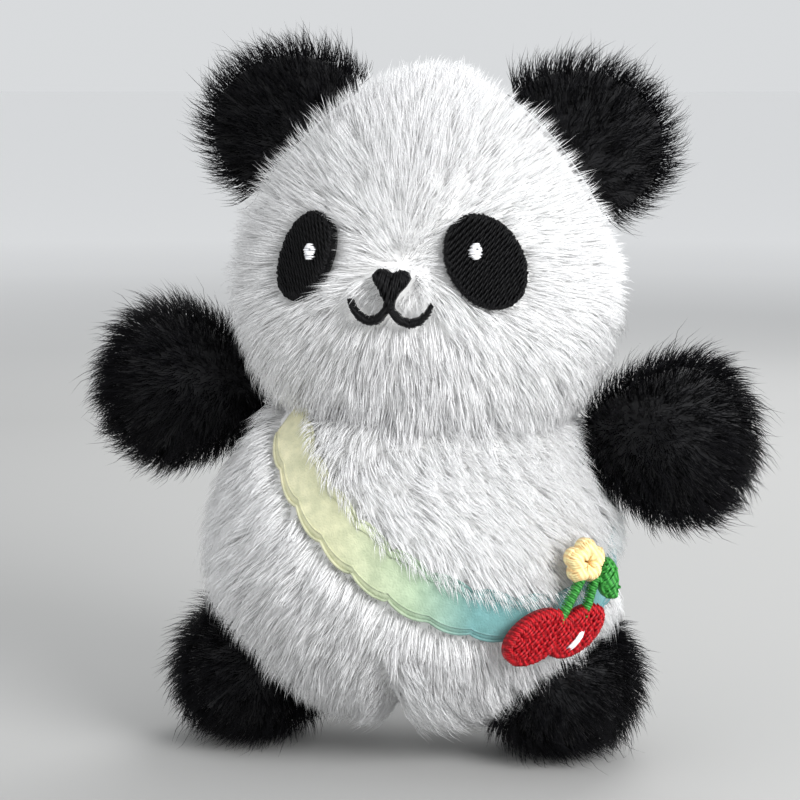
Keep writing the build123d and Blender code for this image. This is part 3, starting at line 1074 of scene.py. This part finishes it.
groups = []
for number in range(PETALS):
    facing = math.radians(90 + number * 360 / PETALS)
    toward = heading(facing)
    centre = np.array(FLOWER) + toward * 2.0
    spread = np.linspace(facing - 2.0, facing + 2.0, 15)
    rim = centre + stacked(np.cos(spread), np.sin(spread)) * 1.75
    heart = np.array(FLOWER) + toward * 0.35 + (rim - centre) * 0.08
    groups.append((heart, rim + stitch_rng.normal(0, 0.06, rim.shape), 0.25, 1.75))
    petal = ellipse(centre, 1.7, 1.7, count=24)
    pad(f"cherry_flower_petal_{number}", petal, on_patch, -0.8, 0.6, 0.5, "yellow")
stitched("cherry_flower_thread", groups, on_patch, 0.25, "yellow", "cherry_flower")

leaf_place, leaf_long, leaf_wide, leaf_tilt = LEAF
leaf = ellipse(leaf_place, leaf_wide, leaf_long, leaf_tilt, count=36)
pad("cherry_leaf_ground", leaf, on_patch, -1.0, 0.5, 0.3, "green")
veins = (*fill_stitches(leaf, leaf_tilt + 28, 0.36, 9.0, 0.1), 0.0, 1.25)
stitched("cherry_leaf_thread", [veins], on_patch, 0.2, "green", "cherry_leaf")

for word, stem in STEMS.items():
    top, bottom = np.array(stem)[:, None]
    wraps = (*band_stitches(stem, (1.5, 1.5), 0.4, 0.05), 0.0, 1.25)
    stitched(f"stem_{word}_thread", [wraps], on_patch, 0.23, "green", f"stem_{word}")
    stitched(f"stem_{word}_core", [(top, bottom, 0.45, 0.5)], on_patch, 0.62, "green", None)


# ---- sash

SASH_HEIGHT = -2.3  # of the ribbon's under side from the CAD's body
SASH_CLOTH = 0.3
CORD_SIDES = 6


def sash_columns(azimuths, across, height):
    """Points of the sash at each azimuth and distance across it, on the body at a height."""
    levels = np.linspace(3.0, NECK_Z + 0.5, 500)
    y = egg_front(0, levels, BODY)
    x = -y / BODY[1] * BODY[0]
    columns = []
    for azimuth, offsets in zip(azimuths, across):
        surface = stacked(x * math.sin(azimuth), y * math.cos(azimuth), levels)
        rising = np.maximum.accumulate(above_sash(surface) + np.arange(len(levels)) * 1e-9)
        columns.append(sampled(surface, rising, offsets))
    return lifted(np.stack(columns), BODY, body_swell, height)


def sash_material(name, roughness, darker):
    """Netting whose dye runs from yellow through green to teal along the ribbon."""
    paint = Paint(name, roughness, 0.3)
    stops = (
        (0.0, (0.78, 0.74, 0.50)), (0.28, (0.72, 0.72, 0.47)), (0.46, (0.45, 0.58, 0.40)),
        (0.58, (0.17, 0.38, 0.38)), (1.0, (0.11, 0.32, 0.35)),
    )
    stops = [(place, tuple(value * darker for value in colour)) for place, colour in stops]
    dye = paint.ramp(paint.value("along"), *stops)
    pale = paint.ramp(paint.noise(2.0), (0.35, (0.75, 0.78, 0.76)), (0.7, (1.0, 1.0, 1.0)))
    paint.shade(Base_Color=paint.product("VectorMath", dye, pale))
    paint.bump(paint.texture("Voronoi", "Distance", 0.55, feature="DISTANCE_TO_EDGE"), 0.8, 0.12)
    return paint.material


SASH_NET = sash_material("sash_net", 0.55, 1.0)
SASH_CORD = sash_material("sash_cord", 0.5, 0.8)


def sash_course():
    """The azimuths at which the sash shows, in its own order, and how far along it they lie."""
    azimuths = np.linspace(-math.pi, math.pi, 361)[:-1]
    middle = sash_columns(azimuths, np.zeros((len(azimuths), 1)), 0.0)[:, 0]
    shown = middle[:, 2] < NECK_Z - 0.1
    order = (np.arange(len(azimuths)) + int(np.argmax(~shown))) % len(azimuths)
    order = order[shown[order]]
    return azimuths[order], distances(middle[order])


def make_sash():
    azimuths, length = sash_course()
    lobe = np.abs(np.sin(math.pi * length / SCALLOP_PITCH)) ** 0.7
    half = SASH_HALF + SCALLOP * (lobe - 0.4)
    across = half[:, None] * np.linspace(-1, 1, 9)
    rows, columns = across.shape
    top = sash_columns(azimuths, across, SASH_HEIGHT + SASH_CLOTH)
    bottom = sash_columns(azimuths, across, SASH_HEIGHT)
    grid = np.arange(rows * columns).reshape(rows, columns)
    upper = np.stack([grid[:-1, :-1], grid[:-1, 1:], grid[1:, 1:], grid[1:, :-1]], -1).reshape(-1, 4)
    lower = upper[:, ::-1] + rows * columns
    rim = np.concatenate([grid[:-1, 0], grid[-1, :-1], grid[:0:-1, -1], grid[0, :0:-1]])
    after = np.roll(rim, -1)
    wall = stacked(rim, after, after + rows * columns, rim + rows * columns)
    points = np.concatenate([top, bottom]).reshape(-1, 3)
    ribbon = mesh_object("sash_net", points, np.concatenate([upper, lower, wall]), SASH_NET)
    # The dye runs from the neck at both ends to the middle of the sash
    dye = 1 - np.abs(length / length[-1] * 2 - 1)
    set_values(ribbon, "along", np.tile(np.repeat(dye, columns), 2))
    finish_piece(ribbon, "toy", "lace", ["sash_ribbon"])
    for number, inset in enumerate((1.0, 0.72, -0.72, -1.0)):
        line = sash_columns(azimuths, half[:, None] * inset, SASH_HEIGHT + SASH_CLOTH)[:, 0]
        radius = 0.26 if abs(inset) == 1 else 0.16
        cord = tubes(f"sash_cord_{number}", line[None], radius, SASH_CORD, CORD_SIDES)
        set_values(cord, "along", np.repeat(dye, CORD_SIDES))
        finish_piece(cord, "toy", "lace")


make_sash()


# ---- seams, hanging tab and metal

NECK_DEPTH = 3.2  # of the neck stitches inside the body's outline
NECK_STITCHES = 70


def sew(node, lines, radius):
    finish_piece(tubes(node + "_thread", lines, radius, THREADS["white"]), "toy", "thread_white", [node])


def neck_stitches():
    """Slanting ladder stitches that close the neck under the pile."""
    angle = np.linspace(0, math.tau, NECK_STITCHES, endpoint=False)
    spread = np.array([-0.9, -0.45, 0.0, 0.45, 0.9])
    shrink = math.sqrt(1 - ((NECK_Z - BODY[2]) / BODY[3]) ** 2)
    turn = angle[:, None] + spread[None] * 0.02
    bulge = 0.35 * np.cos(spread[None] * math.pi / 1.8)
    x = (BODY[0] * shrink - NECK_DEPTH + bulge) * np.sin(turn)
    y = -(BODY[1] * shrink - NECK_DEPTH + bulge) * np.cos(turn)
    z = NECK_Z + spread[None]
    sew("neck_seam", stacked(x, y, z), 0.25)


def belly_stitches():
    """The closing stitches down the middle of the belly, at the bottom of the parting."""
    t = np.linspace(0, 1, 5)
    height = -WHITE_DEPTH + 0.05 + 0.3 * np.sin(math.pi * t)
    lines = []
    for level in np.arange(8.0, 24.0, 1.1):
        z = level + 0.9 * t
        points = stacked((t - 0.5) * 0.8, egg_front(0, z, BODY), z)
        lines.append(lifted(points, BODY, body_swell, height))
    sew("belly_seam", lines, 0.22)


TAB_LEVEL = 101.0
TAB_X = 5.3
TAB_ROOT_Y = 17.5
TAB_TURN_Y = 32.6
TAB_RADIUS = 2.0  # of the middle of the cloth where it folds
TAB_WIDTH = 6.0
TAB_HALF_CLOTH = 0.29
TAB_RIB = 0.45


def webbing_material():
    paint = Paint("webbing", 0.8, 0.2)
    weave = paint.texture("Wave", "Fac", 1.6, Distortion=1.0)
    paint.shade(Base_Color=paint.ramp(weave, (0.2, (0.74, 0.73, 0.70)), (0.8, (0.90, 0.89, 0.87))))
    paint.bump(paint.noise(0.4), 0.4, 0.08)
    return paint.material


def make_tab():
    """A folded strip of ribbed webbing, from inside the head's seam round the ring and back."""
    straight = TAB_TURN_Y - TAB_ROOT_Y
    total = 2 * straight + math.pi * TAB_RADIUS
    along = np.arange(0, total, TAB_RIB / 4)
    turn = np.clip((along - straight) / TAB_RADIUS, 0, math.pi)
    y = np.where(along < straight, TAB_ROOT_Y + along, TAB_TURN_Y + TAB_RADIUS * np.sin(turn))
    past = along - straight - math.pi * TAB_RADIUS
    y = np.where(past > 0, TAB_TURN_Y - past, y)
    z = TAB_RADIUS * np.cos(turn)
    normal = stacked(0, np.sin(turn), np.cos(turn))
    centre = stacked(TAB_X, y, TAB_LEVEL + z)
    rib = 0.05 * np.cos(along / TAB_RIB * math.tau)
    width = TAB_WIDTH / 2
    section = [(-width, 0.0), (-width + 0.25, 1.0), (0.0, 1.0), (width - 0.25, 1.0), (width, 0.0),
               (width - 0.25, -1.0), (0.0, -1.0), (-width + 0.25, -1.0)]
    rings = []
    for across, level in section:
        thick = level * (TAB_HALF_CLOTH - 0.05 + rib)
        rings.append(centre + np.array([1.0, 0, 0]) * across + normal * thick[:, None])
    count = len(section)
    points = np.stack(rings, 1).reshape(-1, 3)
    first = np.arange(count)
    caps = np.stack([first[::-1], first + (len(along) - 1) * count])
    faces = [ring_quads(len(along), count), caps]
    tab = mesh_object("tab_webbing", points, faces, webbing_material(), lean=False)
    finish_piece(tab, "toy", "webbing", ["hanging_tab"])


neck_stitches()
belly_stitches()
make_tab()
METALS = dict.fromkeys(("jump_ring", "swivel_eye", "clasp_hook", "gate_pin", "gate_lever"), NICKEL)
METALS["gate_spring"] = SPRING_STEEL
for node, metal in METALS.items():
    materials = bpy.data.objects[node].data.materials
    materials.clear()
    materials.append(metal)


# ---- stage, light and camera

FLOOR_RADII = (0.2, 0.4, 0.6, 0.8, 1.0, 1.3, 60.0)  # metres
FLOOR_SIDES = 48
FLOOR_NEAR, FLOOR_FAR = 0.3, 1.3  # metres from the toy between which the floor lightens


def stage_floor():
    """A pale round floor that lightens outwards until it meets the world's tone, so that no edge shows."""
    angle = np.arange(FLOOR_SIDES) * math.tau / FLOOR_SIDES
    rim = stacked(np.cos(angle), np.sin(angle), 0)
    points = (np.array(FLOOR_RADII)[:, None, None] * rim).reshape(-1, 3)
    faces = [ring_quads(len(FLOOR_RADII), FLOOR_SIDES)[:, ::-1], np.arange(FLOOR_SIDES)[None]]
    paint = Paint("stage_paper", 0.9)
    near, far = (0.0, (0.40, 0.40, 0.395)), (1.0, (0.97, 0.97, 0.97))
    paint.shade(Base_Color=paint.ramp(paint.value("tone"), near, far))
    stage = mesh_object("stage", (points - ORIGIN) / MM, faces, paint.material, lean=False)
    tones = smooth(np.array(FLOOR_RADII), FLOOR_NEAR, FLOOR_FAR)
    set_values(stage, "tone", np.repeat(tones, FLOOR_SIDES))


def place_facing(name, data, place):
    """A lamp or camera that looks at the toy's middle."""
    holder = bpy.data.objects.new(name, data)
    holder.location = place
    holder.rotation_euler = (AIM - Vector(place)).to_track_quat("-Z", "Y").to_euler()
    scene.collection.objects.link(holder)
    return holder


def area_light(name, place, size, power, colour=(1, 1, 1)):
    lamp = bpy.data.lights.new(name, "AREA")
    lamp.shape = "DISK"
    lamp.size = size
    lamp.energy = power
    lamp.color = colour
    place_facing(name, lamp, place).visible_camera = False  # the lamps' discs stay out of every view


def set_world(colour, strength):
    world = bpy.data.worlds.new("studio")
    world.use_nodes = True
    background = world.node_tree.nodes["Background"]
    background.inputs["Color"].default_value = (*colour, 1)
    background.inputs["Strength"].default_value = strength
    scene.world = world


def set_camera(azimuth, elevation, distance, lens):
    a, e = math.radians(azimuth), math.radians(elevation)
    away = Vector((math.sin(a) * math.cos(e), -math.cos(a) * math.cos(e), math.sin(e)))
    data = bpy.data.cameras.new("camera")
    data.lens = lens
    data.clip_start = 0.01
    scene.camera = place_facing("camera", data, AIM + away * distance)


AIM = Vector(to_frame((-0.7, 0.0, 60.1), lean=False))
scene.view_settings.view_transform = "Standard"
scene.view_settings.look = "None"
scene.cycles.diffuse_bounces = 8  # light scatters deep in white pile
stage_floor()
set_world((0.96, 0.98, 1.0), 0.72)
area_light("key", (0.42, -0.34, 0.30), 0.34, 4.2)
area_light("fill", (-0.45, -0.35, 0.16), 0.50, 0.7, (1.0, 0.99, 0.98))
area_light("rim", (0.10, 0.40, 0.40), 0.40, 1.6)
set_camera(10.0, 8.0, 0.3756, 100.0)
